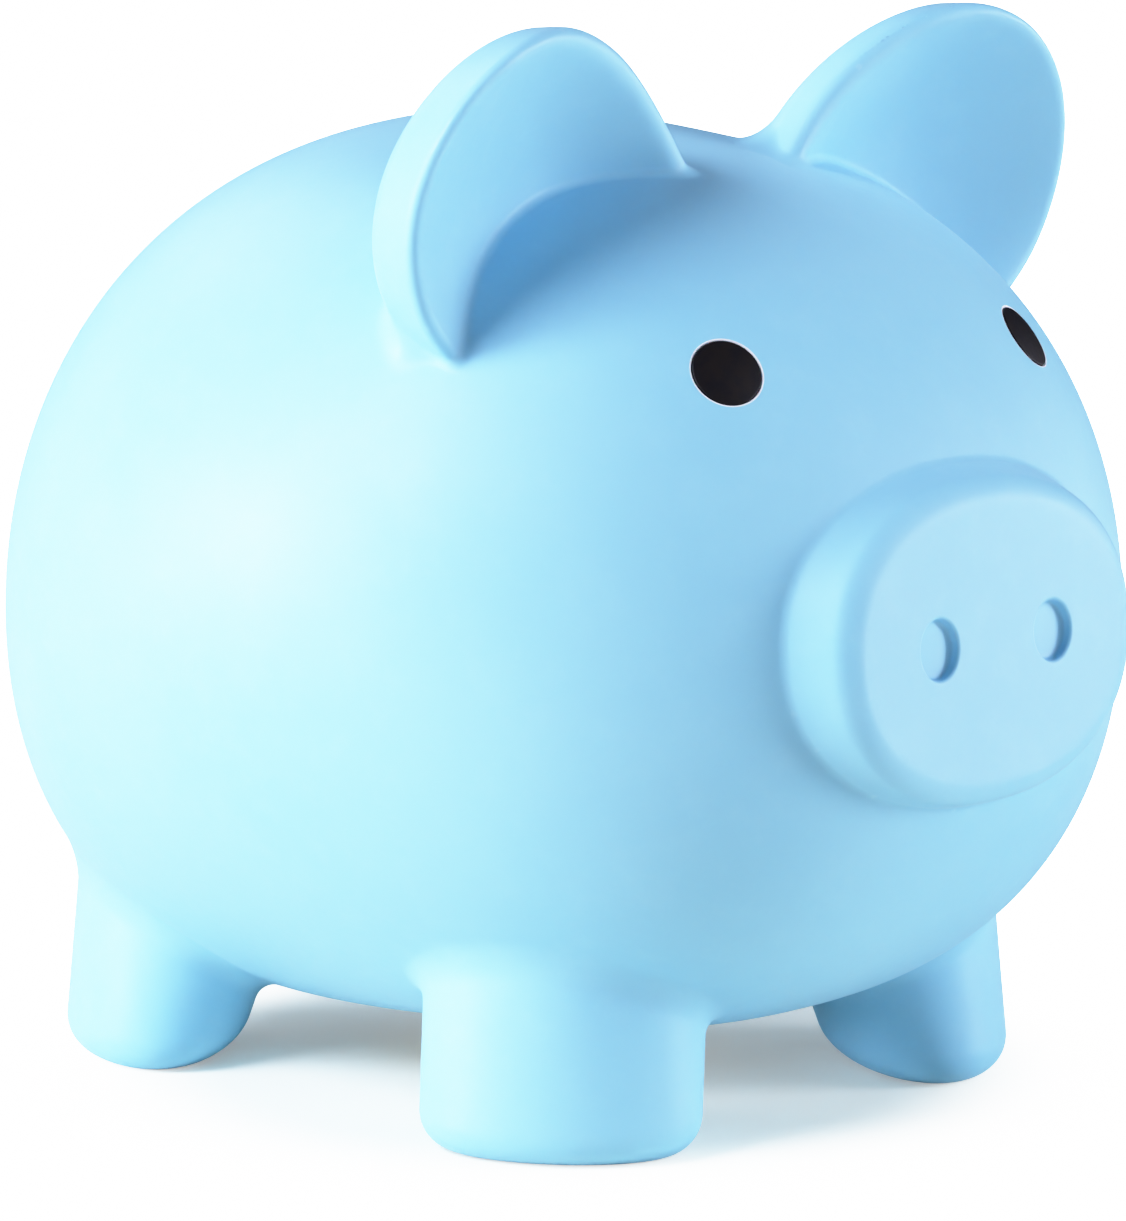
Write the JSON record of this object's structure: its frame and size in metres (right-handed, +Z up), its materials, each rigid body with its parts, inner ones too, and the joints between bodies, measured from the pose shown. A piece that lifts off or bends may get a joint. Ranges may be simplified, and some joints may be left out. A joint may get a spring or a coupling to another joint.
{
  "type": "piggy bank",
  "caption": "Hollow pig-shaped coin bank with a slot on its back, button snout, stub legs and a pull-out belly stopper.",
  "frame": {"origin": "on the floor plane under the centre of the whole object's box", "axes": "+Z up, nose towards -Y, the pig's own left side towards +X"},
  "size_m": [0.1392, 0.1568, 0.1447],
  "materials": {
    "vinyl_skin": "light sky-blue soft vinyl, matte with a faint waxy sheen",
    "eye_black": "near-black, satin",
    "stopper_soft": "soft natural-white vinyl, matte"
  },
  "bodies": {
    "pig": {"body_shell": "vinyl_skin", "eye_left": "eye_black", "eye_right": "eye_black"},
    "stopper": {"belly_stopper": "stopper_soft"}
  },
  "joints": [
    {"name": "belly_pull", "type": "slide", "parent": "pig", "child": "stopper", "axis": [0, 0, -1], "range_m": [0, 0.03]}
  ]
}
